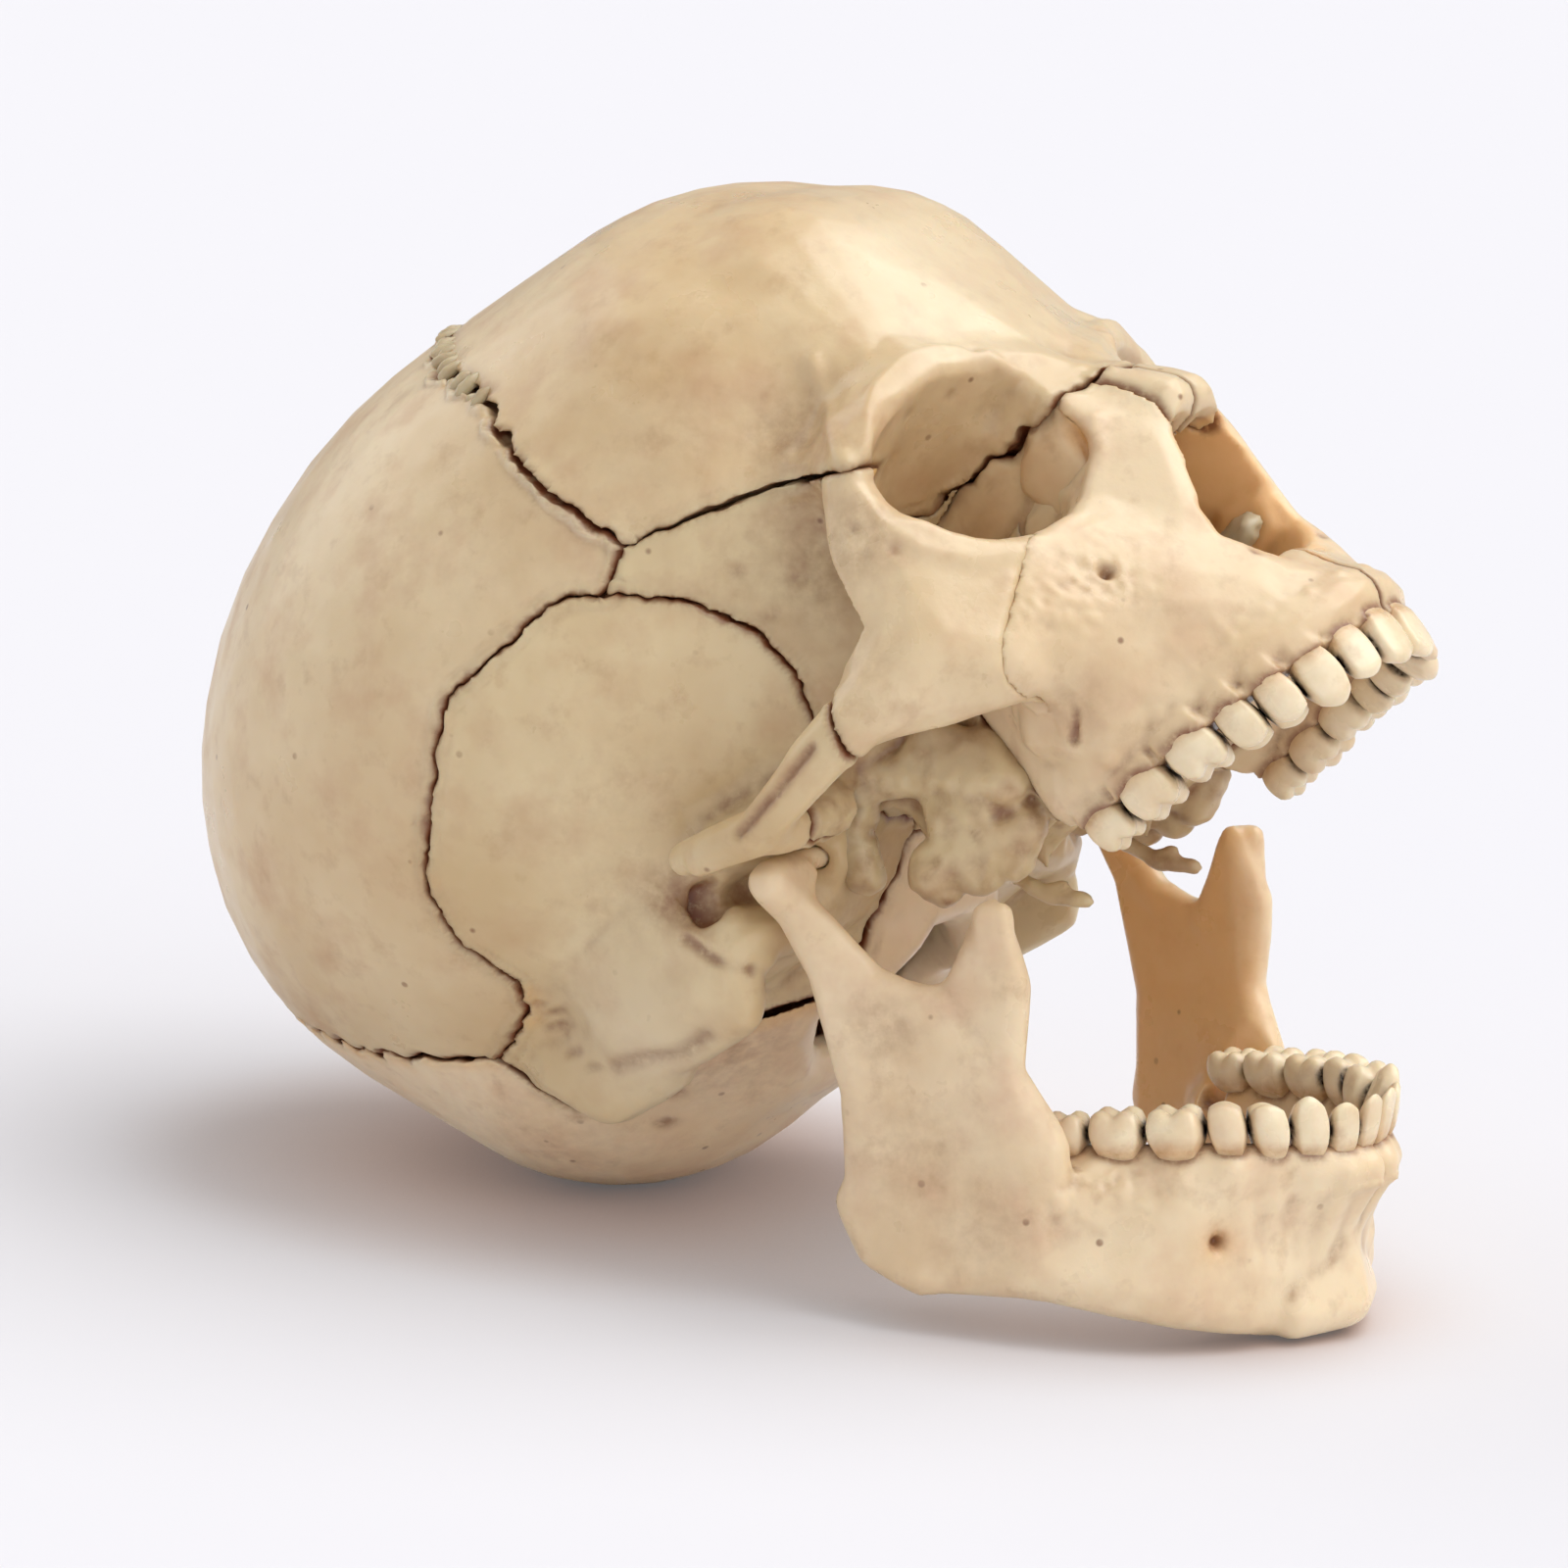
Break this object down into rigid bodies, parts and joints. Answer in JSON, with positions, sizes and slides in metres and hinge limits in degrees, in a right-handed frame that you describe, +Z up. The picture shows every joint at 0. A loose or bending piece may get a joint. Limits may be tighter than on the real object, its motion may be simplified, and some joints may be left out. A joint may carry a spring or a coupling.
{
  "type": "anatomical skull model",
  "caption": "Small teaching skull of separate bone-coloured plastic bones with open seams, a hinged lower jaw hanging open, and two side walls of the vault that lift off.",
  "frame": {"origin": "middle of the small flat at the back of the occipital bone on which the skull rests", "axes": "+Z up from the table, +X along the table the way the face looks, +Y towards the skull's left"},
  "size_m": [0.1158, 0.0736, 0.0897],
  "materials": {
    "frontal_plastic": "satin moulded plastic, brown stain wiped into the seams and pits",
    "parietal_right_plastic": "satin moulded plastic, brown stain wiped into the seams and pits",
    "parietal_left_plastic": "satin moulded plastic, brown stain wiped into the seams and pits",
    "occipital_plastic": "satin moulded plastic, brown stain wiped into the seams and pits",
    "temporal_right_plastic": "satin moulded plastic, brown stain wiped into the seams and pits",
    "temporal_left_plastic": "satin moulded plastic, brown stain wiped into the seams and pits",
    "sphenoid_plastic": "satin moulded plastic, brown stain wiped into the seams and pits",
    "zygomatic_right_plastic": "satin moulded plastic, brown stain wiped into the seams and pits",
    "zygomatic_left_plastic": "satin moulded plastic, brown stain wiped into the seams and pits",
    "maxilla_right_plastic": "satin moulded plastic, brown stain wiped into the seams and pits",
    "maxilla_left_plastic": "satin moulded plastic, brown stain wiped into the seams and pits",
    "nasal_right_plastic": "satin moulded plastic, brown stain wiped into the seams and pits",
    "nasal_left_plastic": "satin moulded plastic, brown stain wiped into the seams and pits",
    "lacrimal_right_plastic": "satin moulded plastic, brown stain wiped into the seams and pits",
    "lacrimal_left_plastic": "satin moulded plastic, brown stain wiped into the seams and pits",
    "ethmoid_plastic": "satin moulded plastic, brown stain wiped into the seams and pits",
    "vomer_plastic": "satin moulded plastic, brown stain wiped into the seams and pits",
    "palatine_right_plastic": "satin moulded plastic, brown stain wiped into the seams and pits",
    "palatine_left_plastic": "satin moulded plastic, brown stain wiped into the seams and pits",
    "concha_right_plastic": "satin moulded plastic, brown stain wiped into the seams and pits",
    "concha_left_plastic": "satin moulded plastic, brown stain wiped into the seams and pits",
    "mandible_plastic": "satin moulded plastic, brown stain wiped into the seams and pits"
  },
  "bodies": {
    "cranium": {"frontal": "frontal_plastic", "occipital": "occipital_plastic", "temporal_right": "temporal_right_plastic", "temporal_left": "temporal_left_plastic", "sphenoid": "sphenoid_plastic", "zygomatic_right": "zygomatic_right_plastic", "zygomatic_left": "zygomatic_left_plastic", "maxilla_right": "maxilla_right_plastic", "maxilla_left": "maxilla_left_plastic", "nasal_right": "nasal_right_plastic", "nasal_left": "nasal_left_plastic", "lacrimal_right": "lacrimal_right_plastic", "lacrimal_left": "lacrimal_left_plastic", "ethmoid": "ethmoid_plastic", "vomer": "vomer_plastic", "palatine_right": "palatine_right_plastic", "palatine_left": "palatine_left_plastic", "concha_right": "concha_right_plastic", "concha_left": "concha_left_plastic"},
    "jaw": {"mandible": "mandible_plastic"},
    "vault_side_right": {"parietal_right": "parietal_right_plastic"},
    "vault_side_left": {"parietal_left": "parietal_left_plastic"}
  },
  "joints": [
    {"name": "jaw_hinge", "type": "hinge", "parent": "cranium", "child": "jaw", "pos_m": [0.03103, 0, 0.0369], "axis": [0, -1, 0], "range_deg": [0, 42]},
    {"name": "vault_right_slide", "type": "slide", "parent": "cranium", "child": "vault_side_right", "axis": [0, -1, 0], "range_m": [0, 0.025]},
    {"name": "vault_left_slide", "type": "slide", "parent": "cranium", "child": "vault_side_left", "axis": [0, 1, 0], "range_m": [0, 0.025]}
  ]
}
